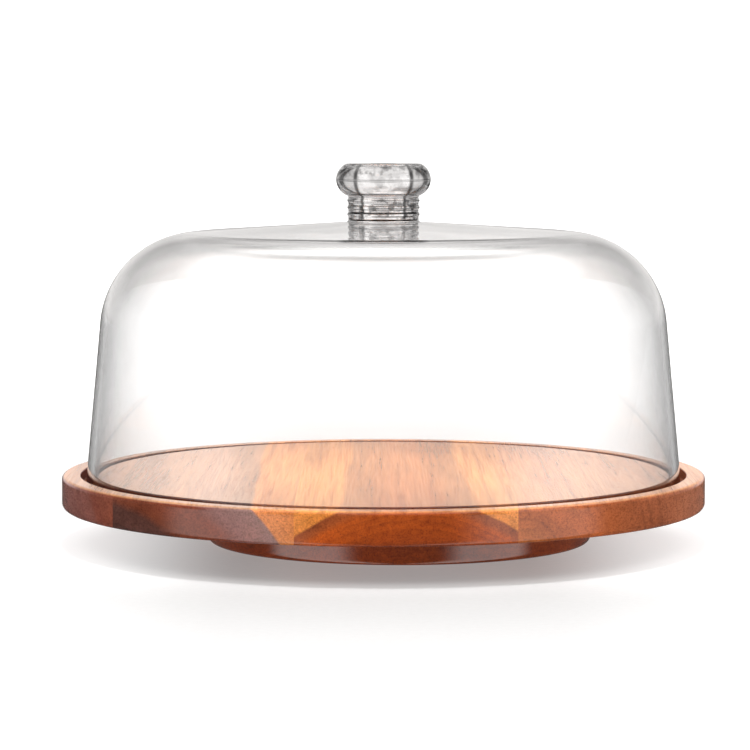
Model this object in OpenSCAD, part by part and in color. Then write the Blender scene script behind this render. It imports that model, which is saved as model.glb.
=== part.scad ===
// Footed wooden cake board with a loose glass dome. Millimetres, +Z up.
// The origin is on the table, under the centre of the board.

/* [Board] */
// Diameter of the round board
board_d = 305; // [290:5:340]
// Thickness of the board
board_t = 15.5; // [14:0.5:20]
// Rounding of the board's upper edge
board_top_round = 2; // [1:0.5:3]
// Rounding of the board's lower edge
board_low_round = 2.5; // [1:0.5:4]
// Place of the left glue line across the board
seam_left = -121.5; // [-125:0.5:-110]
// Place of the middle glue line across the board
seam_middle = -39; // [-44:0.5:-34]
// Place of the right glue line across the board
seam_right = 58; // [50:0.5:62]

/* [Dome groove] */
// Mean diameter of the groove that the dome stands in
groove_d = 279; // [278:0.5:280]
// Width of the groove
groove_w = 8.2; // [7.5:0.1:9]
// Depth of the groove
groove_depth = 5; // [4:0.5:6]
// Rounding of the groove's bottom corners and upper edges
groove_round = 0.8; // [0.4:0.1:1.2]

/* [Foot] */
// Diameter of the low foot disc
foot_d = 182; // [176:1:200]
// Thickness of the foot disc
foot_t = 16.8; // [15:0.1:20]
// Rounding of the foot's lower edge
foot_round = 2.5; // [1:0.5:4]
// How far the foot is fixed off the board's centre, to the right
foot_shift = 7.5; // [0:0.5:9]

/* [Foot pads] */
// Number of non-slip pads
pad_count = 4; // [4:1:8]
// Diameter of a pad
pad_d = 12; // [8:0.5:16]
// Thickness of a pad
pad_t = 1.5; // [1.2:0.1:3]
// How far a pad stands out of the foot
pad_proud = 0.7; // [0.5:0.1:1]
// Diameter of the ring of pads
pad_ring_d = 150; // [140:1:156]

/* [Foot screws] */
// Number of countersunk wood screws
screw_count = 4; // [4:1:6]
// Diameter over the screw's thread
screw_d = 4; // [3.5:0.1:4.5]
// Length of a screw, from its flat head to its point
screw_len = 24; // [20:0.5:26]
// Diameter of the screw head
screw_head_d = 8; // [7.5:0.1:9]
// Depth of the screw head below the foot's underside
screw_sink = 1; // [0.5:0.1:2]
// Diameter of the ring of screws
screw_ring_d = 120; // [110:1:126]

/* [Glass dome] */
// Outer diameter of the dome at its rim
rim_d = 282.4; // [281:0.1:283]
// Height from the rim to the tip of the crown's cone
crown_h = 124.9; // [115:0.1:150]
// Lean of the dome's wall, in degrees
wall_lean = 5.4; // [3:0.1:8]
// Slope of the crown, in degrees
crown_slope = 3.8; // [2:0.1:6]
// Outer radius of the shoulder between wall and crown
shoulder_r = 46; // [35:1:55]
// Thickness of the glass
glass_t = 3; // [2.5:0.1:4]
// Radius of the flat under the knob, inside the dome
inside_flat_r = 16; // [10:1:20]

/* [Glass knob] */
// Height of the knob above the tip of the crown's cone
knob_h = 26.5; // [24:0.1:30]
// Widest diameter of the knob's head
knob_d = 44.8; // [40:0.2:48]
// Radius of the bulge around the head
knob_bulge_r = 8.2; // [7.6:0.1:8.6]
// Height of the head's widest line below the knob's top
knob_belt_drop = 7.4; // [6.8:0.1:7.6]
// Radius of the shallow dish in the top
knob_dish_r = 7.4; // [6:0.1:9]
// Depth of the dish
knob_dish_depth = 1.2; // [0.8:0.1:2]
// Diameter of the stem between its bead rings
stem_d = 33.2; // [32:0.2:34]
// Number of bead rings around the stem
bead_count = 3; // [2:1:3]
// How far a bead ring stands out of the stem
bead_proud = 0.5; // [0.3:0.1:0.8]
// Distance between two bead rings
bead_pitch = 3.3; // [3:0.1:3.5]
// Radius of the fillet where the stem meets the crown
stem_fillet = 1.7; // [1:0.1:2]

/* [Hidden] */
$fn = 96;
eps = 0.01;

// Heights above the table
foot_z = pad_proud;
board_z = foot_z + foot_t;
top_z = board_z + board_t;
rim_z = top_z - groove_depth;
tip_z = rim_z + crown_h;
knob_top_z = tip_z + knob_h;

// Radii
board_r = board_d / 2;
foot_r = foot_d / 2;
rim_r = rim_d / 2;
stem_r = stem_d / 2;

// Glue lines, with the board's edges on each side
plank_edges = [-board_r - 1, seam_left, seam_middle, seam_right, board_r + 1];

// Fasteners
screw_head_h = (screw_head_d - screw_d) / 2;
screw_play = 0.2;
thread_pitch = 1.8;
thread_deep = 0.6;
tip_len = 4;
drive_w = 1.1;
drive_len = 4.6;
drive_deep = 1.6;

oak_brown = [0.62, 0.36, 0.19];
red_brown = [0.56, 0.30, 0.16];
dark_brown = [0.42, 0.25, 0.16];
orange_brown = [0.70, 0.42, 0.20];
clear_glass = [0.88, 0.91, 0.92, 0.35];

// Points along a circular arc, in the plane of a revolved outline
function arc(centre, r, from, to, steps = 12) = [
    for (i = [0:steps])
        let (angle = from + (to - from) * i / steps)
        [centre[0] + r * cos(angle), centre[1] + r * sin(angle)]
];

// Height of the crown's outer cone at a radius
function crown_z(r) = tip_z - r * tan(crown_slope);

// The outer wall is the line wall_normal . p = wall_dist, and the crown likewise
wall_normal = [cos(wall_lean), sin(wall_lean)];
crown_normal = [sin(crown_slope), cos(crown_slope)];
wall_dist = wall_normal * [rim_r, rim_z];
crown_dist = crown_normal * [0, tip_z];

// Centre of the shoulder arc, which touches both lines
shoulder_wall = wall_dist - shoulder_r;
shoulder_crown = crown_dist - shoulder_r;
shoulder_det = cos(wall_lean + crown_slope);
shoulder_centre = [
    (shoulder_wall * crown_normal[1] - shoulder_crown * wall_normal[1]) / shoulder_det,
    (shoulder_crown * wall_normal[0] - shoulder_wall * crown_normal[0]) / shoulder_det
];

// Round rim of the glass
rim_round = glass_t / 2;
rim_centre = [rim_r - rim_round / cos(wall_lean) - rim_round * tan(wall_lean), rim_z + rim_round];

// Height of the flat inside the dome, under the knob
inside_z = crown_z(inside_flat_r) - glass_t / cos(crown_slope);

// Outline of half the dome's section, from the rim up the outside and back inside
dome_outline = concat(
    arc(rim_centre, rim_round, 180 + wall_lean, 360 + wall_lean),
    arc(shoulder_centre, shoulder_r, wall_lean, 90 - crown_slope, 20),
    [[0, tip_z], [0, inside_z], [inside_flat_r, inside_z]],
    arc(shoulder_centre, shoulder_r - glass_t, 90 - crown_slope, wall_lean, 20)
);

// Bulged head of the knob
belt_z = knob_top_z - knob_belt_drop;
bulge_centre = [knob_d / 2 - knob_bulge_r, belt_z];
head_top_angle = asin(knob_belt_drop / knob_bulge_r);
neck_round = 1;
head_low_angle = acos((stem_r + neck_round - bulge_centre[0]) / (knob_bulge_r + neck_round));
neck_centre = bulge_centre
    + (knob_bulge_r + neck_round) * [cos(head_low_angle), -sin(head_low_angle)];

// Dish in the knob's top, as part of a sphere
dish_r = (knob_dish_r * knob_dish_r + knob_dish_depth * knob_dish_depth) / (2 * knob_dish_depth);
dish_half_angle = asin(knob_dish_r / dish_r);
dish_centre = [0, knob_top_z + dish_r - knob_dish_depth];

// Bead rings, each an arc that stands bead_proud out of the stem
bead_half = 1.1;
bead_r = (bead_half * bead_half + bead_proud * bead_proud) / (2 * bead_proud);
bead_half_angle = asin(bead_half / bead_r);
first_bead_z = crown_z(stem_r) + stem_fillet + bead_half + 0.9;
function bead(i) = arc(
    [stem_r + bead_proud - bead_r, first_bead_z + i * bead_pitch],
    bead_r, -bead_half_angle, bead_half_angle, 6);

// Outline of half the knob's section, from its foot on the crown to its dish
knob_outline = concat(
    [[0, tip_z], [stem_r + stem_fillet, crown_z(stem_r + stem_fillet)]],
    arc([stem_r + stem_fillet, crown_z(stem_r + stem_fillet) + stem_fillet],
        stem_fillet, 260, 180, 6),
    [for (i = [0:bead_count - 1]) each bead(i)],
    arc(neck_centre, neck_round, 180, 180 - head_low_angle, 4),
    arc(bulge_centre, knob_bulge_r, -head_low_angle, head_top_angle, 20),
    arc(dish_centre, dish_r, 270 + dish_half_angle, 270, 8)
);

// Outline of half a disc with rounded lower and upper edges
function disc_outline(r, z, t, low_round, top_round) = concat(
    [[0, z]],
    arc([r - low_round, z + low_round], low_round, 270, 360, 6),
    arc([r - top_round, z + t - top_round], top_round, 0, 90, 6),
    [[0, z + t]]
);

// Outline of the groove's section, with rounded bottom corners and eased upper edges
groove_in = (groove_d - groove_w) / 2;
groove_out = (groove_d + groove_w) / 2;
groove_outline = concat(
    [[groove_in - groove_round, top_z + eps]],
    arc([groove_in - groove_round, top_z - groove_round], groove_round, 90, 0, 4),
    arc([groove_in + groove_round, rim_z + groove_round], groove_round, 180, 270, 4),
    arc([groove_out - groove_round, rim_z + groove_round], groove_round, 270, 360, 4),
    arc([groove_out + groove_round, top_z - groove_round], groove_round, 180, 90, 4),
    [[groove_out + groove_round, top_z + eps]]
);

// Repeats its children in a ring around the foot's axis
module foot_ring(count, ring_d, first_angle = 0) {
    for (i = [0:count - 1])
        translate([foot_shift, 0, foot_z])
            rotate([0, 0, first_angle + 360 * i / count])
                translate([ring_d / 2, 0, 0])
                    children();
}

// Outline of half a screw's section, from its head to its point
thread_from = screw_len / 2;
thread_rows = floor((screw_len - tip_len - thread_from) / thread_pitch);
screw_outline = concat(
    [[0, 0], [screw_head_d / 2, 0], [screw_d / 2, screw_head_h], [screw_d / 2, thread_from]],
    [for (i = [0:thread_rows - 1]) each [
        [screw_d / 2 - thread_deep, thread_from + thread_pitch * (i + 0.2)],
        [screw_d / 2 - thread_deep, thread_from + thread_pitch * (i + 0.7)],
        [screw_d / 2, thread_from + thread_pitch * (i + 1)]
    ]],
    [[screw_d / 2 - thread_deep, screw_len - tip_len], [0, screw_len]]
);

module screw() {
    difference() {
        rotate_extrude() polygon(screw_outline);
        for (turn = [0, 90])
            rotate([0, 0, turn])
                translate([-drive_len / 2, -drive_w / 2, -eps])
                    cube([drive_len, drive_w, drive_deep + eps]);
    }
}

// Hole for a screw in the foot: a counterbore, a 45 degree seat and a clearance bore
module foot_screw_hole() {
    clear_r = screw_d / 2 + screw_play;
    translate([0, 0, -eps])
        cylinder(r = screw_head_d / 2, h = screw_sink + eps);
    translate([0, 0, screw_sink])
        cylinder(r1 = screw_head_d / 2, r2 = clear_r, h = screw_head_d / 2 - clear_r);
    cylinder(r = clear_r, h = foot_t + eps);
}

// Blind hole for a screw in the board, as wide as the thread
module board_screw_hole() {
    translate([0, 0, foot_t - eps])
        cylinder(r = screw_d / 2, h = screw_sink + screw_len - foot_t + eps);
}

module platter_plank(i) {
    tones = [dark_brown, oak_brown, red_brown, orange_brown];
    color(tones[i - 1])
    difference() {
        intersection() {
            rotate_extrude()
                polygon(disc_outline(board_r, board_z, board_t, board_low_round, board_top_round));
            translate([plank_edges[i - 1], -board_r - 1, board_z - 1])
                cube([plank_edges[i] - plank_edges[i - 1], board_d + 2, board_t + 2]);
        }
        rotate_extrude() polygon(groove_outline);
        foot_ring(screw_count, screw_ring_d) board_screw_hole();
    }
}

module foot_disc() {
    foot_top_round = 0.5;
    color(red_brown)
    difference() {
        translate([foot_shift, 0, 0])
            rotate_extrude()
                polygon(disc_outline(foot_r, foot_z, foot_t, foot_round, foot_top_round));
        foot_ring(screw_count, screw_ring_d) foot_screw_hole();
        foot_ring(pad_count, pad_ring_d, 180 / pad_count)
            translate([0, 0, -eps])
                cylinder(d = pad_d, h = pad_t - pad_proud + eps);
    }
}

module foot_screws() {
    color("silver")
    foot_ring(screw_count, screw_ring_d)
        translate([0, 0, screw_sink])
            screw();
}

module foot_pads() {
    pad_edge_round = 0.4;
    color([0.85, 0.86, 0.86])
    foot_ring(pad_count, pad_ring_d, 180 / pad_count)
        rotate_extrude()
            polygon(disc_outline(pad_d / 2, -pad_proud, pad_t, pad_edge_round, eps));
}

module dome_shell() {
    color(clear_glass)
    rotate_extrude() polygon(dome_outline);
}

module dome_knob() {
    color(clear_glass)
    rotate_extrude() polygon(knob_outline);
}

platter_plank(1);  // platter_plank_1
platter_plank(2);  // platter_plank_2
platter_plank(3);  // platter_plank_3
platter_plank(4);  // platter_plank_4
foot_disc();
foot_screws();
foot_pads();
dome_shell();
dome_knob();
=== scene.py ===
"""Cake stand with a glass dome: smooth wood and glass, their materials, the studio and the camera."""
from math import acos, asin, atan, cos, hypot, pi, radians, sin, tan

import bmesh
import bpy
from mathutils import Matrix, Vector


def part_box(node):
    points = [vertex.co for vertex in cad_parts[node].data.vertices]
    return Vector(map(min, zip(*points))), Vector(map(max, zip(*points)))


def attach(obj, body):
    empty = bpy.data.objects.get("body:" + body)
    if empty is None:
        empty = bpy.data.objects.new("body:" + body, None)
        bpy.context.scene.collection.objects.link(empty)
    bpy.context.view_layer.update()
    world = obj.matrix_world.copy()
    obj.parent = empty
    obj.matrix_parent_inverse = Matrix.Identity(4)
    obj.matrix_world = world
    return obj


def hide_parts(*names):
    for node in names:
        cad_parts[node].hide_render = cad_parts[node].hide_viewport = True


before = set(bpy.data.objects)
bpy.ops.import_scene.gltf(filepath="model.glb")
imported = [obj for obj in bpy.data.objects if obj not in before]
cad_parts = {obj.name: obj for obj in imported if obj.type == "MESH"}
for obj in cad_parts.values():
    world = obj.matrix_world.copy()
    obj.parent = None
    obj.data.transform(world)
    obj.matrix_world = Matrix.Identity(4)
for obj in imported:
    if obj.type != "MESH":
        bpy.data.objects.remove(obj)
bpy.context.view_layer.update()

MM = 0.001

# ---------------------------------------------------------------- sizes, as the CAD parts draw them

PLANKS = ["platter_plank_1", "platter_plank_2", "platter_plank_3", "platter_plank_4"]
PLANK_LOW, PLANK_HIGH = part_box("platter_plank_3")
BOARD_LOW = PLANK_LOW.z
BOARD_TOP = PLANK_HIGH.z
BOARD_R = PLANK_HIGH.y      # this plank crosses the board's middle
TOP_ROUND = 2 * MM          # rounding of the board's upper edge
LOW_ROUND = 2.5 * MM        # rounding of its lower edge
GROOVE_R = 139.5 * MM       # radius of the groove's middle line
GROOVE_W = 8.2 * MM
GROOVE_DEPTH = 5 * MM
GROOVE_ROUND = 0.8 * MM     # rounding of the groove's floor and of its outer upper edge
GROOVE_LIP = 0.35 * MM      # rounding of its inner upper edge, sharper here than in the CAD
BOARD_SEGMENTS = 288

FOOT_LOW, FOOT_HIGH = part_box("foot_disc")
FOOT_R = (FOOT_HIGH.x - FOOT_LOW.x) / 2
FOOT_SHIFT = (FOOT_HIGH.x + FOOT_LOW.x) / 2
FOOT_ROUND = 2.5 * MM
EDGE_STEPS = 8              # points along the rounding of a wooden edge
LIP_STEPS = 5               # points along the rounding of a groove's edge

SHELL_LOW, SHELL_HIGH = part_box("dome_shell")
KNOB_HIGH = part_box("dome_knob")[1]
GLASS_T = 3 * MM            # thickness of the dome's glass
RIM_Z = SHELL_LOW.z
RIM_R = 141.2 * MM
TIP_Z = SHELL_HIGH.z        # tip of the crown's cone, inside the knob
WALL_LEAN = radians(5.4)
CROWN_SLOPE = radians(3.8)
SHOULDER_R = 46 * MM
INSIDE_FLAT_R = 16 * MM     # the crown's inside is flat as far out as this
KNOB_R = KNOB_HIGH.x
KNOB_TOP = KNOB_HIGH.z
BULGE_R = 8.2 * MM          # radius of the knob's bulging side
BELT_DROP = 7.4 * MM        # from the knob's top down to its widest line
DISH_R = 7.4 * MM           # the dish in the knob's top
DISH_DEPTH = 1.2 * MM
STEM_R = 16.6 * MM
STEM_FILLET = 1.7 * MM      # fillet between the crown and the stem
NECK_ROUND = 1 * MM         # fillet between the stem and the bulge
BEAD_COUNT = 3
BEAD_PITCH = 3.3 * MM
BEAD_PROUD = 0.5 * MM       # how far a bead ring stands out of the stem
BEAD_HALF = 1.1 * MM        # half the height of a bead ring
BEAD_START = 0.9 * MM       # from the fillet up to the first bead ring
GLASS_SEGMENTS = 256

LONG_STRAIGHT = 1.5 * MM    # a straight longer than this is held flat
HOLD_GAP = 0.05 * MM        # by points so close to its ends


# ---------------------------------------------------------------- shapes

def arc(centre, r, start, end, steps):
    """Points (radius, height) along an arc of a revolved outline; angles in radians."""
    angles = [start + (end - start) * i / steps for i in range(steps + 1)]
    return [(centre[0] + r * cos(a), centre[1] + r * sin(a)) for a in angles]


def held(outline):
    """Adds a point close to each end of every long straight, so that smooth shading keeps it flat."""
    points = [outline[0]]
    for (r0, z0), (r1, z1) in zip(outline, outline[1:]):
        length = hypot(r1 - r0, z1 - z0)
        if length > LONG_STRAIGHT:
            for part in (HOLD_GAP / length, 1 - HOLD_GAP / length):
                points.append((r0 + (r1 - r0) * part, z0 + (z1 - z0) * part))
        points.append((r1, z1))
    return points


def lathe(name, outline, segments, centre_x=0.0):
    """A closed mesh around Z, from an outline that runs from the axis, up the outside, to the axis."""
    outline = held(outline)
    rings = outline[1:-1]
    verts = [(centre_x, 0, outline[0][1])]
    for r, z in rings:
        for i in range(segments):
            turn = 2 * pi * i / segments
            verts.append((centre_x + r * cos(turn), r * sin(turn), z))
    verts.append((centre_x, 0, outline[-1][1]))
    last = len(verts) - 1
    faces = []
    for i in range(segments):
        j = (i + 1) % segments
        faces.append((0, 1 + j, 1 + i))
        for ring in range(len(rings) - 1):
            low = 1 + ring * segments
            high = low + segments
            faces.append((low + i, low + j, high + j, high + i))
        faces.append((last, last - segments + i, last - segments + j))
    mesh = bpy.data.meshes.new(name)
    mesh.from_pydata(verts, [], faces)
    mesh.shade_smooth()
    return mesh


def place(name, data):
    """A new object in the scene, at the origin."""
    piece = bpy.data.objects.new(name, data)
    bpy.context.scene.collection.objects.link(piece)
    return piece


def disc_side(r, low_z, top_z, low_round, top_round):
    """Half a disc's section: its lower face and its rounded side, as far as the upper face."""
    low = arc((r - low_round, low_z + low_round), low_round, -pi / 2, 0, EDGE_STEPS)
    top = arc((r - top_round, top_z - top_round), top_round, 0, pi / 2, EDGE_STEPS)
    return [(0, low_z), *low, *top]


def board_outline():
    """Half the section of the round board, with the groove for the dome's rim."""
    side = disc_side(BOARD_R, BOARD_LOW, BOARD_TOP, LOW_ROUND, TOP_ROUND)
    inside = GROOVE_R - GROOVE_W / 2
    outside = GROOVE_R + GROOVE_W / 2
    edge_z = BOARD_TOP - GROOVE_ROUND
    floor_z = BOARD_TOP - GROOVE_DEPTH + GROOVE_ROUND
    groove = arc((outside + GROOVE_ROUND, edge_z), GROOVE_ROUND, pi / 2, pi, LIP_STEPS)
    groove += arc((outside - GROOVE_ROUND, floor_z), GROOVE_ROUND, 0, -pi / 2, LIP_STEPS)
    groove += arc((inside + GROOVE_ROUND, floor_z), GROOVE_ROUND, -pi / 2, -pi, LIP_STEPS)
    groove += arc((inside - GROOVE_LIP, BOARD_TOP - GROOVE_LIP), GROOVE_LIP, 0, pi / 2, LIP_STEPS)
    return [*side, *groove, (0, BOARD_TOP)]


def foot_outline():
    """Half the section of the foot disc."""
    side = disc_side(FOOT_R, FOOT_LOW.z, FOOT_HIGH.z, FOOT_ROUND, FOOT_ROUND)
    return [*side, (0, FOOT_HIGH.z)]


def crown_z(r):
    """Height of the crown's outside at a distance from the axis."""
    return TIP_Z - r * tan(CROWN_SLOPE)


def shell_outline():
    """The dome's half of the glass section: its inside from the axis out, its rim and its outside."""
    wall = (cos(WALL_LEAN), sin(WALL_LEAN))
    crown = (sin(CROWN_SLOPE), cos(CROWN_SLOPE))
    to_wall = wall[0] * RIM_R + wall[1] * RIM_Z - SHOULDER_R
    to_crown = crown[1] * TIP_Z - SHOULDER_R
    det = cos(WALL_LEAN + CROWN_SLOPE)
    shoulder = ((to_wall * crown[1] - to_crown * wall[1]) / det,
                (to_crown * wall[0] - to_wall * crown[0]) / det)
    rim_round = GLASS_T / 2
    rim = (RIM_R - rim_round / cos(WALL_LEAN) - rim_round * tan(WALL_LEAN), RIM_Z + rim_round)
    inside_z = crown_z(INSIDE_FLAT_R) - GLASS_T / cos(CROWN_SLOPE)
    crown_end = pi / 2 - CROWN_SLOPE

    points = [(0, inside_z), (INSIDE_FLAT_R, inside_z)]
    points += arc(shoulder, SHOULDER_R - GLASS_T, crown_end, WALL_LEAN, steps=64)
    points += arc(rim, rim_round, WALL_LEAN - pi, WALL_LEAN, steps=16)
    points += arc(shoulder, SHOULDER_R, WALL_LEAN, crown_end, steps=64)
    return points


def knob_outline():
    """The knob's half of the glass section, from the crown up its stem and bulge to its dish."""
    fillet_r = STEM_R + STEM_FILLET
    fillet = (fillet_r, crown_z(fillet_r) + STEM_FILLET)
    fillet_start = radians(266)      # nearly along the crown's slope

    bead_r = (BEAD_HALF ** 2 + BEAD_PROUD ** 2) / (2 * BEAD_PROUD)
    bead_half = asin(BEAD_HALF / bead_r)
    bead_x = STEM_R + BEAD_PROUD - bead_r
    first_bead = crown_z(STEM_R) + STEM_FILLET + BEAD_HALF + BEAD_START

    bulge = (KNOB_R - BULGE_R, KNOB_TOP - BELT_DROP)
    top_angle = asin(BELT_DROP / BULGE_R)
    reach = BULGE_R + NECK_ROUND
    low_angle = acos((STEM_R + NECK_ROUND - bulge[0]) / reach)
    neck = (bulge[0] + reach * cos(low_angle), bulge[1] - reach * sin(low_angle))

    dish_r = (DISH_R ** 2 + DISH_DEPTH ** 2) / (2 * DISH_DEPTH)
    dish_half = asin(DISH_R / dish_r)
    dish = (0, KNOB_TOP + dish_r - DISH_DEPTH)

    points = arc(fillet, STEM_FILLET, fillet_start, pi, steps=10)
    for i in range(BEAD_COUNT):
        points += arc((bead_x, first_bead + i * BEAD_PITCH), bead_r, -bead_half, bead_half, steps=10)
    points += arc(neck, NECK_ROUND, pi, pi - low_angle, steps=8)[:-1]    # the bulge starts there
    points += arc(bulge, BULGE_R, -low_angle, top_angle, steps=48)
    points += arc(dish, dish_r, -pi / 2 + dish_half, -pi / 2, steps=12)
    return points


def cut_plank(name, left, right):
    """The slice of the round board between two seams, closed at both cuts."""
    mesh = lathe(name, board_outline(), BOARD_SEGMENTS)
    bm = bmesh.new()
    bm.from_mesh(mesh)
    for x, way in ((left, -1), (right, 1)):
        if x is None:
            continue
        cut = bmesh.ops.bisect_plane(bm, geom=bm.verts[:] + bm.edges[:] + bm.faces[:],
                                     plane_co=(x, 0, 0), plane_no=(way, 0, 0), clear_outer=True)
        rim = [e for e in cut["geom_cut"] if isinstance(e, bmesh.types.BMEdge)]
        filled = bmesh.ops.triangle_fill(bm, use_beauty=True, edges=rim)
        for face in filled["geom"]:
            if isinstance(face, bmesh.types.BMFace):
                face.smooth = False
        for edge in rim:
            edge.smooth = False
    bmesh.ops.recalc_face_normals(bm, faces=bm.faces[:])
    bm.to_mesh(mesh)
    bm.free()
    return place(name, mesh)


# ---------------------------------------------------------------- materials

class Nodes:
    """Short calls for building the nodes of a material or of the world."""

    def __init__(self, owner, shader="Principled BSDF"):
        owner.use_nodes = True
        self.owner = owner
        self.tree = owner.node_tree
        self.shader = self.tree.nodes[shader]

    def add(self, kind, inputs=(), **settings):
        """A node with its settings, and its inputs by name or number."""
        node = self.tree.nodes.new(kind)
        for key, value in settings.items():
            setattr(node, key, value)
        for key, value in dict(inputs).items():
            self.put(node.inputs[key], value)
        return node

    def put(self, socket, value):
        """Links a socket, or sets its value."""
        if isinstance(value, bpy.types.NodeSocket):
            self.tree.links.new(value, socket)
        else:
            socket.default_value = value

    def look(self, **values):
        """Values on the shader's own sockets, with _ for a space in their names."""
        for key, value in values.items():
            self.put(self.shader.inputs[key.replace("_", " ")], value)

    def math(self, operation, a, b=0.0, c=0.0):
        return self.add("ShaderNodeMath", {0: a, 1: b, 2: c}, operation=operation).outputs[0]

    def own(self, scale=(1, 1, 1), move=(0, 0, 0)):
        """The piece's own coordinates, scaled and moved."""
        spot = self.add("ShaderNodeTexCoord").outputs["Object"]
        return self.add("ShaderNodeMapping", {"Vector": spot, "Scale": scale,
                                              "Location": move}).outputs[0]

    def from_axis(self):
        """The distance from the Z axis."""
        away = self.add("ShaderNodeVectorMath", {0: self.own((1, 1, 0))}, operation="LENGTH")
        return away.outputs["Value"]

    def split(self, vector):
        """The X, Y and Z of a vector."""
        return self.add("ShaderNodeSeparateXYZ", {0: vector}).outputs

    def noise(self, vector, scale, detail=2.0, roughness=0.5):
        """Noise, mostly between 0.3 and 0.7."""
        return self.add("ShaderNodeTexNoise", {"Vector": vector, "Scale": scale, "Detail": detail,
                                               "Roughness": roughness}).outputs[0]

    def step(self, value, low, high, to_low=0.0, to_high=1.0):
        """A smooth step from to_low to to_high while the value goes from low to high."""
        return self.add("ShaderNodeMapRange",
                        {"Value": value, "From Min": low, "From Max": high, "To Min": to_low,
                         "To Max": to_high}, interpolation_type="SMOOTHSTEP").outputs[0]

    def ramp(self, factor, stops):
        """A colour ramp: stops are (place, colour), or (place, grey)."""
        node = self.add("ShaderNodeValToRGB", {0: factor})
        elements = node.color_ramp.elements
        while len(elements) < len(stops):
            elements.new(0.5)
        for element, (spot, colour) in zip(elements, stops):
            element.position = spot
            element.color = (*colour, 1) if isinstance(colour, tuple) else (*(colour,) * 3, 1)
        return node.outputs[0]

    def mix(self, factor, a, b, blend="MIX"):
        """The colour a where factor is 0, and b where it is 1."""
        node = self.add("ShaderNodeMix", data_type="RGBA", blend_type=blend)
        self.put(node.inputs[0], factor)
        for socket, value in ((node.inputs[6], a), (node.inputs[7], b)):
            self.put(socket, (*value, 1) if isinstance(value, tuple) else value)
        return node.outputs[2]

    def shade(self, colour, by, amount=1.0):
        """A colour multiplied by another, as far as amount says."""
        return self.mix(amount, colour, by, "MULTIPLY")

    def blend(self, factor, low, high):
        """The number low where factor is 0, and high where it is 1."""
        rest = self.math("MULTIPLY", low, self.math("SUBTRACT", 1.0, factor))
        return self.math("MULTIPLY_ADD", factor, high, rest)

    def bump(self, height, strength, distance, socket="Normal"):
        node = self.add("ShaderNodeBump", {"Height": height, "Strength": strength,
                                           "Distance": distance})
        self.put(self.shader.inputs[socket], node.outputs[0])


def rgb(code):
    """A colour from its usual hex form, as linear light."""
    parts = [int(code[i:i + 2], 16) / 255 for i in (0, 2, 4)]
    return tuple(p / 12.92 if p <= 0.04045 else ((p + 0.055) / 1.055) ** 2.4 for p in parts)


# Painted light on the board's top: a pale colour mixed into its upward faces, and how much of it
TOP_PAINTED_LIGHT = (0.85, 0.46, 0.18)
TOP_PAINTED_LIGHT_AMOUNT = 0.36
PORE_BROWN = (0.035, 0.012, 0.006)
# Painted shade, multiplied into the groove's colour as the shade of its recess
GROOVE_PAINTED_SHADE = (0.32, 0.2, 0.15)
RING_WIDTH = 4.5 * MM


def from_heart(n, spot, heart_at, seed):
    """The distance from the tree's middle, swaying along the grain as a real trunk does."""
    dx = n.math("SUBTRACT", spot["X"], heart_at[0])
    dz = n.math("SUBTRACT", spot["Z"], heart_at[1])
    away = n.math("SQRT", n.math("MULTIPLY_ADD", dx, dx, n.math("MULTIPLY", dz, dz)))
    sway = n.noise(n.own((1, 0.3, 1), (seed, seed, seed)), 11, 2)
    wobble = n.noise(n.own((1, 0.12, 1), (seed, -seed, 0)), 110, 3)
    away = n.math("MULTIPLY_ADD", n.math("SUBTRACT", sway, 0.5), 12 * MM, away)
    return n.math("MULTIPLY_ADD", n.math("SUBTRACT", wobble, 0.5), 1.6 * MM, away)


def growth_rings(n, away, seed):
    """Growth rings of uneven width, each darkening towards its outer side."""
    spread = n.noise(n.add("ShaderNodeCombineXYZ", {0: away, 1: seed}).outputs[0], 120, 1)
    turn = n.math("MULTIPLY_ADD", spread, 2.5, n.math("DIVIDE", away, RING_WIDTH))
    return n.ramp(n.math("FRACT", turn), [(0.0, 1.0), (0.55, 0.95), (0.88, 0.74), (0.95, 0.8),
                                          (1.0, 1.0)])


def pores(n, seed):
    """Pores: dots on the end grain, long dashes along the grain."""
    cells = n.add("ShaderNodeTexVoronoi", {"Vector": n.own((1, 0.05, 1), (seed, 0, 0)),
                                           "Scale": 1000}, feature="F1")
    size = n.step(n.noise(n.own((1, 0.2, 1), (0, seed, 0)), 160), 0.35, 0.65, 0.05, 0.24)
    return n.step(cells.outputs["Distance"], n.math("MULTIPLY", size, 0.7), size, 1.0, 0.0)


def groove_band(n):
    """1 between the radii of the groove's two edges, at any height, and 0 elsewhere."""
    radius = n.from_axis()
    inside = GROOVE_R - GROOVE_W / 2
    outside = GROOVE_R + GROOVE_W / 2
    return n.math("MULTIPLY", n.step(radius, inside - 0.4 * MM, inside + 0.2 * MM),
                  n.step(radius, outside - 0.2 * MM, outside + 0.4 * MM, 1.0, 0.0))


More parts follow.
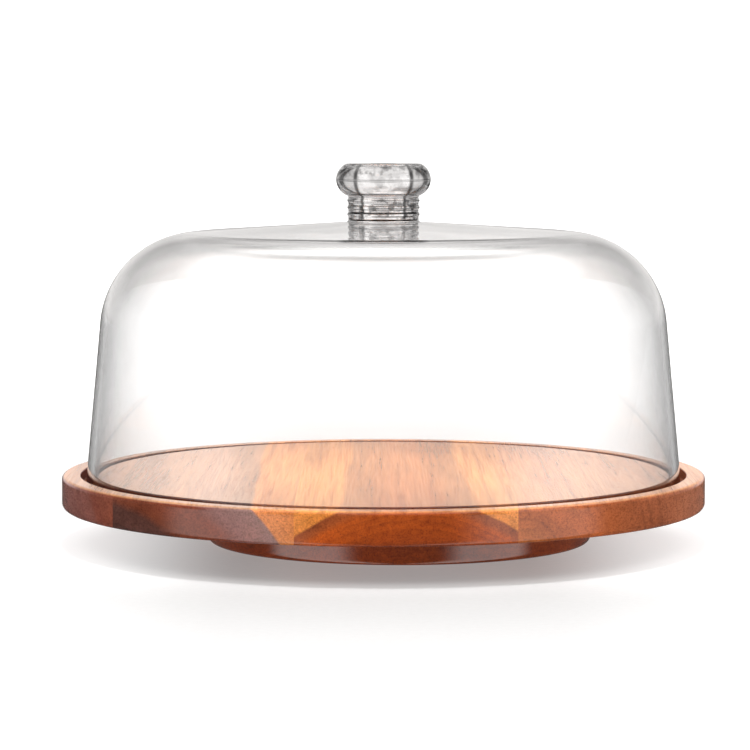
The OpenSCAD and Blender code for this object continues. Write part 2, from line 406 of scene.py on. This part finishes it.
def wood(name, heart_at, bands, seed, gloss=0.85, coat_ior=1.45):
    """Varnished acacia with its grain along Y.

    heart_at is the (x, z) of the tree's middle. bands are (distance from it, colour), from the
    heartwood out to the sapwood, so the end grain shows arcs and the top long wavy stripes.
    """
    n = Nodes(bpy.data.materials.new(name))
    away = from_heart(n, n.split(n.own()), heart_at, seed)
    first, last = bands[0][0], bands[-1][0]
    place_in = n.add("ShaderNodeMapRange", {"Value": away, "From Min": first, "From Max": last})
    colour = n.ramp(place_in.outputs[0], [((at - first) / (last - first), shade)
                                          for at, shade in bands])
    ring_depth = n.step(n.noise(n.own((1, 0.1, 1), (0, seed, seed)), 40), 0.35, 0.7, 0.15, 0.75)
    colour = n.shade(colour, growth_rings(n, away, seed), ring_depth)

    # Painted light: the upward faces are mixed towards a pale colour, as if lit more; the long grain
    # on top is also more streaked than the end grain around the edge
    top = n.step(n.split(n.add("ShaderNodeTexCoord").outputs["Normal"])["Z"], 0.5, 0.95)
    colour = n.mix(n.math("MULTIPLY", top, TOP_PAINTED_LIGHT_AMOUNT), colour, TOP_PAINTED_LIGHT)
    streak = n.noise(n.own((1, 0.022, 1), (seed, seed, 0)), 210, 5, 0.7)
    streaks = n.ramp(streak, [(0.36, (0.82, 0.7, 0.56)), (0.49, 1.0), (0.62, (1.1, 1.04, 1.0))])
    colour = n.shade(colour, streaks, top)

    # Broad light and dark stretches, grain lines, and fine fibres along the grain
    broad = n.noise(n.own((1, 0.14, 1), (seed * 2, 0, 0)), 30, 3, 0.6)
    colour = n.shade(colour, n.ramp(broad, [(0.32, (0.72, 0.66, 0.6)), (0.5, 1.0),
                                            (0.68, (1.2, 1.16, 1.1))]))
    line = n.noise(n.own((1, 0.025, 1), (0, seed, seed * 3)), 330, 5, 0.75)
    colour = n.shade(colour, n.ramp(line, [(0.34, (0.76, 0.7, 0.62)), (0.5, 1.0),
                                           (0.66, (1.12, 1.1, 1.08))]))
    fibre = n.noise(n.own((1, 0.02, 1), (0, 0, seed)), 1300, 3, 0.65)
    fibres = n.ramp(fibre, [(0.3, (0.62, 0.56, 0.5)), (0.5, 1.0), (0.7, (1.2, 1.18, 1.12))])
    colour = n.shade(colour, fibres, n.step(top, 0.0, 1.0, 0.95, 0.5))
    pore = pores(n, seed)
    pore_depth = n.step(top, 0.0, 1.0, 0.6, 0.22)
    colour = n.mix(n.math("MULTIPLY", pore, pore_depth), colour, PORE_BROWN)

    # The groove is turned after varnishing, so its coat is dull; its darker colour is painted shade of
    # the recess
    groove = groove_band(n)
    # Painted shade: the groove's colour is darkened by its radius, at any height
    colour = n.shade(colour, GROOVE_PAINTED_SHADE, groove)

    n.look(Base_Color=colour, Roughness=n.ramp(fibre, [(0.3, 0.55), (0.7, 0.4)]),
           Coat_Weight=n.step(groove, 0.0, 1.0, gloss, 0.1), Coat_Roughness=0.12,
           Coat_IOR=coat_ior, Specular_IOR_Level=0.05)
    n.bump(n.math("MULTIPLY_ADD", pore, -0.6, fibre), 0.12, 0.1 * MM)
    n.bump(n.noise(n.own((1, 0.5, 1)), 120), 0.03, 0.3 * MM, "Coat Normal")
    return n.owner


def shell_painted_shade(n, across):
    """Painted shade on the dome's glass: grey towards its left and right sides, and where it is seen
    edge on.
    """
    sides = n.ramp(across, [(0.3, 1.0), (0.45, 0.86), (0.52, 0.78), (0.6, 0.69), (0.66, 0.62),
                            (0.76, 0.5), (0.84, 0.43), (0.92, 0.5), (1.0, 0.75)])
    edge_on = n.add("ShaderNodeLayerWeight", {"Blend": 0.5}).outputs["Facing"]
    edges = n.ramp(edge_on, [(0.6, 1.0), (0.76, 0.95), (0.84, 0.8), (1.0, 0.88)])
    return n.shade(sides, edges)


def knob_painted_shade_and_seam(n, height, across, seam):
    """The solid knob's painted shade (a dark bar on each side, dark noise patches on its stem and
    crest, a dimmer top) and its seam.
    """
    # Painted shade: nearly black bars at set angles of the knob's side to the view
    painted_shade_bars = n.ramp(across, [(0.0, 1.0), (0.15, 0.95), (0.18, 0.02), (0.215, 0.02), (0.25, 0.5),
                           (0.36, 0.42), (0.45, 0.65), (0.6, 0.65), (0.75, 0.9), (0.86, 0.4),
                           (1.0, 0.4)])
    neck_z = KNOB_TOP - BELT_DROP - BULGE_R - NECK_ROUND
    on_stem = n.step(height, neck_z - 1 * MM, neck_z + 1 * MM, 1.0, 0.35)
    on_crest = n.step(height, KNOB_TOP - 7 * MM, KNOB_TOP - 4 * MM, 0.0, 0.5)
    dark_patches = n.ramp(n.noise(n.own((1, 1, 0.8)), 260, 2), [(0.43, 0.12), (0.53, 1.0)])
    tint = n.shade(painted_shade_bars, dark_patches, n.math("ADD", on_stem, on_crest))
    # Painted shade: the knob's top is dimmer
    tint = n.shade(tint, n.step(height, KNOB_TOP - 8 * MM, KNOB_TOP - 4 * MM, 1.0, 0.68))
    return n.mix(n.math("MULTIPLY", seam, 0.8), tint, (0.12, 0.12, 0.12))


def glass():
    """Clear glass with the faint waves of pressed glass. Lamps shine through it.

    The dome's base colour carries painted shade towards its sides and where it is seen edge on.
    The solid knob is greyer than the dome, partly from its thick glass and partly from painted
    shade, and also has the mould's ripples and the fine seam around its widest line.
    """
    n = Nodes(bpy.data.materials.new("clear_glass"))
    height = n.split(n.own())["Z"]
    in_knob = n.step(height, TIP_Z - 1 * MM, TIP_Z + 1 * MM)
    belt = n.math("ABSOLUTE", n.math("SUBTRACT", height, KNOB_TOP - BELT_DROP))
    seam = n.step(belt, 0.1 * MM, 0.35 * MM, 1.0, 0.0)
    outward = n.add("ShaderNodeVectorMath", {0: n.own((1, 1, 0))}, operation="NORMALIZE").outputs[0]
    across = n.add("ShaderNodeLayerWeight", {"Blend": 0.5, "Normal": outward}).outputs["Facing"]
    # Painted shade in the base colour: on the dome's sides and edges, and on the knob
    tint = n.mix(in_knob, shell_painted_shade(n, across), knob_painted_shade_and_seam(n, height, across, seam))
    n.look(Base_Color=tint, Roughness=0.0, IOR=1.5, Transmission_Weight=1.0)

    waves = n.math("MULTIPLY", n.noise(n.own((1, 1, 0.5)), 22), 0.3)
    ripple = n.math("MULTIPLY", n.noise(n.own((1, 1, 0.6)), 150, 1), 0.15)
    detail = n.math("MULTIPLY", in_knob, n.math("MULTIPLY_ADD", seam, 0.1, ripple))
    n.bump(n.math("ADD", waves, detail), 0.06, 2 * MM)

    clear = n.add("ShaderNodeBsdfTransparent", {"Color": (0.97, 0.975, 0.97, 1)})
    lamps = n.add("ShaderNodeLightPath").outputs["Is Shadow Ray"]
    surface = n.add("ShaderNodeMixShader", {0: lamps, 1: n.shader.outputs[0], 2: clear.outputs[0]})
    body = n.add("ShaderNodeVolumeAbsorption", {"Color": (0.16, 0.12, 0.14, 1), "Density": 4.0})
    output = n.tree.nodes["Material Output"]
    n.put(output.inputs["Surface"], surface.outputs[0])
    n.put(output.inputs["Volume"], body.outputs[0])
    return n.owner


def steel():
    """Zinc-plated screw steel."""
    n = Nodes(bpy.data.materials.new("zinc_steel"))
    grain = n.noise(n.own(), 1500, 3)
    n.look(Metallic=1.0, Base_Color=n.ramp(grain, [(0.3, (0.5, 0.5, 0.52)), (0.7, (0.72, 0.71, 0.7))]),
           Roughness=n.ramp(grain, [(0.3, 0.38), (0.7, 0.22)]))
    n.bump(grain, 0.15, 0.1 * MM)
    return n.owner


def silicone():
    """Cloudy silicone of the foot pads."""
    n = Nodes(bpy.data.materials.new("silicone"))
    cloud = n.noise(n.own(), 400, 3)
    n.look(Base_Color=n.ramp(cloud, [(0.3, (0.62, 0.63, 0.63)), (0.7, (0.75, 0.76, 0.76))]),
           Roughness=n.ramp(cloud, [(0.3, 0.5), (0.7, 0.62)]))
    n.bump(cloud, 0.2, 0.1 * MM)
    return n.owner


def shooting_table():
    """White translucent table, lit from below.

    Its glow is painted light and shadow around the object: strongest far off and to the sides of the
    foot, low under the board, and weakest in a painted shadow ring around the board's edge.
    """
    n = Nodes(bpy.data.materials.new("white_table"))
    grain = n.noise(n.own(), 300, 3)
    away = n.from_axis()
    to_side = n.math("ABSOLUTE", n.split(n.own())["X"])
    # Painted shadow: the glow is lowest under the board and rises outwards
    base = n.step(away, 0.15, 0.34, 0.27, 0.42)
    # Painted shadow: a ring of less glow just outside the board's edge
    ring = n.math("MULTIPLY", n.step(away, 0.14, 0.19, 0.0, 0.14), n.step(away, 0.2, 0.33, 1.0, 0.0))
    # Painted light: more glow beside the foot, under the board's sides
    painted_light_beside = n.math("MULTIPLY", n.step(to_side, 0.06, 0.14, 0.0, 0.42),
                    n.step(away, 0.14, 0.22, 1.0, 0.3))
    far = n.step(away, 0.3, 1.0, 0.0, 0.35)
    glow = n.math("ADD", n.math("SUBTRACT", base, ring), n.math("ADD", painted_light_beside, far))
    n.look(Base_Color=n.ramp(grain, [(0.3, 0.42), (0.7, 0.44)]), Roughness=0.9,
           Specular_IOR_Level=0.1, Emission_Color=(1, 1, 1, 1), Emission_Strength=glow)
    return n.owner


def dress(node, material):
    """Gives a CAD node one material all over."""
    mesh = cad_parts[node].data
    mesh.materials.clear()
    mesh.materials.append(material)


# ---------------------------------------------------------------- pieces

def make_board():
    """The four glued planks, each with its own tree's colours."""
    top = BOARD_TOP
    looks = [
        (wood("plank_1_wood", heart_at=(-0.255, top - 0.05), seed=1.7,
              bands=[(0.100, rgb("804a42")), (0.1285, rgb("7f4a40")), (0.131, rgb("7e4030")),
                     (0.136, rgb("80422f"))]),
         "wood_dark"),
        (wood("plank_2_wood", heart_at=(-0.1362, top - 0.0779), seed=3.1,
              bands=[(0.060, rgb("50302a")), (0.0722, rgb("523028")), (0.0755, rgb("703620")),
                     (0.090, rgb("723522")), (0.097, rgb("80504a")), (0.1093, rgb("835e58")),
                     (0.1103, rgb("d07c3e")), (0.130, rgb("cc783c"))]),
         "wood_purple_brown"),
        (wood("plank_3_wood", heart_at=(0.0088, top - 0.0804), seed=5.3,
              bands=[(0.060, rgb("7d340f")), (0.0665, rgb("8a3a10")), (0.072, rgb("a24610")),
                     (0.079, rgb("aa4c14")), (0.0815, rgb("94481f")), (0.0843, rgb("924822")),
                     (0.0853, rgb("d07e36")), (0.110, rgb("dc8c40"))]),
         "wood_orange"),
        (wood("plank_4_wood", heart_at=(0.0585, top - 0.021), seed=7.9,
              bands=[(0.0, rgb("843f18")), (0.006, rgb("a85c2a")), (0.020, rgb("a65527")),
                     (0.045, rgb("964f2a")), (0.075, rgb("a05c3c")), (0.110, rgb("ae6848"))]),
         "wood_red"),
    ]
    seams = [None, *(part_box(name)[1].x for name in PLANKS[:-1]), None]
    for name, left, right, (material, slot) in zip(PLANKS, seams, seams[1:], looks):
        plank = cut_plank(name.replace("platter", "wood"), left, right)
        plank.data.materials.append(material)
        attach(plank, "stand")
        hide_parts(name)


def make_foot():
    """The foot disc, and the materials of its screws and pads."""
    foot = place("wood_foot_disc", lathe("wood_foot_disc", foot_outline(), BOARD_SEGMENTS, FOOT_SHIFT))
    bands = [(0.150, rgb("a04a18")), (0.190, rgb("923c10")), (0.230, rgb("a04a18"))]
    foot.data.materials.append(wood("foot_wood", heart_at=(0.035, -0.16), bands=bands, seed=9.2,
                                    gloss=1.0, coat_ior=1.6))
    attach(foot, "stand")
    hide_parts("foot_disc")
    dress("foot_screws", steel())
    dress("foot_pads", silicone())


def make_dome():
    """The dome and its knob, fused into one closed piece of glass."""
    outline = shell_outline() + knob_outline()
    dome = place("dome_glass", lathe("dome_glass", outline, GLASS_SEGMENTS))
    dome.data.materials.append(glass())
    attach(dome, "dome")
    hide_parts("dome_shell", "dome_knob")


# ---------------------------------------------------------------- studio

AIM_Z = 0.1                 # height of the point that the softboxes are aimed at


def softbox(name, turn, rise, reach, width, height, glow):
    """A softbox on a circle around the object; turn from the camera, rise from the floor."""
    data = bpy.data.lights.new(name, "AREA")
    data.shape = "RECTANGLE"
    data.size = width
    data.size_y = height
    data.energy = glow * pi * width * height
    lamp = place(name, data)
    turn, rise = radians(turn), radians(rise)
    lamp.location = (reach * sin(turn) * cos(rise), -reach * cos(turn) * cos(rise),
                     AIM_Z + reach * sin(rise))
    way = Vector((0, 0, AIM_Z)) - lamp.location
    lamp.rotation_euler = way.to_track_quat("-Z", "Y").to_euler()
    lamp.visible_camera = False
    lamp.visible_transmission = False


def toplight(height, reach, glow):
    """A spot above the board, whose pool of light on the board's top has the radius reach."""
    drop = height - BOARD_TOP
    data = bpy.data.lights.new("toplight", "SPOT")
    data.spot_size = 2 * atan(reach / drop)
    data.spot_blend = 0.15
    data.shadow_soft_size = 0.15
    data.energy = glow * 4 * pi ** 2 * drop ** 2
    lamp = place("toplight", data)
    lamp.location = (0, 0, height)
    lamp.visible_camera = False
    lamp.visible_glossy = False
    lamp.visible_transmission = False


def make_floor():
    """A wide floor that varnish and glass don't mirror."""
    reach = 20.0
    corners = [(-reach, -reach, 0), (reach, -reach, 0), (reach, reach, 0), (-reach, reach, 0)]
    mesh = bpy.data.meshes.new("studio_floor")
    mesh.from_pydata(corners, [], [(0, 1, 2, 3)])
    mesh.materials.append(shooting_table())
    floor = place("studio_floor", mesh)
    floor.visible_glossy = False


def make_room():
    """The room's light, with a strength for each direction.

    Seen directly or through the glass, it is white at the horizon and a little dimmer above it,
    with a narrow grey card behind the object, higher than the camera sees without the glass.
    Mirrored, it is darker down to below the horizon, where the floor is hidden: it has a white
    backdrop behind the object, dim sides, and a light lane on each side of the camera. Above come
    a wall, then a bright ring, and a dimmer ceiling in its middle.
    """
    n = Nodes(bpy.data.worlds.new("room"), "Background")

    def above(degrees):
        """The Z of a direction that is so many degrees above the horizon."""
        return sin(radians(degrees))

    def within(value, wide, narrow):
        """1 where the angle whose cosine is value is under narrow, 0 where it is over wide."""
        return n.step(value, cos(radians(wide)), cos(radians(narrow)))

    x, y, z = n.split(n.add("ShaderNodeTexCoord").outputs["Generated"])
    flat = n.math("SQRT", n.math("MULTIPLY_ADD", x, x, n.math("MULTIPLY", y, y)))
    to_side = n.math("ABSOLUTE", n.math("DIVIDE", x, flat))
    to_back = n.math("DIVIDE", y, flat)
    to_camera = n.math("MULTIPLY", to_back, -1.0)
    behind = within(to_back, 42, 30)
    aside = n.math("SUBTRACT", 1.0, behind)
    path = n.add("ShaderNodeLightPath").outputs
    not_through = n.math("SUBTRACT", 1.0, path["Is Transmission Ray"])
    mirrored = n.math("MULTIPLY", path["Is Glossy Ray"], not_through)

    card_half = 0.035
    card = n.math("MULTIPLY", behind, n.step(to_side, card_half, 2 * card_half, 1.0, 0.0))
    seen = n.step(z, above(2.2), above(5.6), 1.25, n.blend(card, 1.05, 0.38))

    lane = n.math("MULTIPLY", within(to_camera, 86, 72),
                  n.math("SUBTRACT", 1.0, within(to_camera, 40, 22)))
    lanes = n.math("MULTIPLY", lane, n.step(z, above(-3), above(1), 2.3, 0.3))
    sides = n.math("MULTIPLY", aside, n.step(z, above(-3), above(4), 0.1, 0.45))
    backdrop = n.math("MULTIPLY", behind, n.step(z, above(-3), above(3), 0.1, 1.0))
    in_mirror = n.math("ADD", lanes, n.math("ADD", sides, backdrop))

    wall = n.blend(behind, 0.14, n.step(z, above(8), above(20), 0.8, 0.6))
    wall = n.blend(path["Is Transmission Ray"], wall, 0.92)
    ceiling = n.blend(n.step(z, above(64), above(76)), 2.4, 0.7)
    glow = n.blend(mirrored, seen, in_mirror)
    glow = n.blend(n.step(z, above(8), above(15)), glow, wall)
    glow = n.blend(n.step(z, above(34), above(50)), glow, ceiling)
    n.look(Color=(1, 0.98, 0.965, 1), Strength=glow)
    bpy.context.scene.world = n.owner
    bpy.context.scene.view_settings.view_transform = "Standard"


def make_camera():
    """A long lens 1.5 m from the object's axis, a little above the knob."""
    distance = 1.5
    height = 205.5 * MM
    across = -4 * MM
    pitch = radians(4.819)
    data = bpy.data.cameras.new("camera")
    data.sensor_width = 36
    data.lens = 152
    data.clip_end = 100
    camera = place("camera", data)
    camera.location = (across, -distance, height)
    camera.rotation_euler = (pi / 2 - pitch, 0, 0)
    bpy.context.scene.camera = camera


make_board()
make_foot()
make_dome()
make_floor()
make_room()
softbox("softbox_left", turn=-52, rise=20, reach=1.5, width=0.5, height=0.9, glow=2.6)
softbox("softbox_right", turn=56, rise=20, reach=1.5, width=0.7, height=0.9, glow=2.6)
toplight(height=1.5, reach=0.19, glow=1.22)
make_camera()
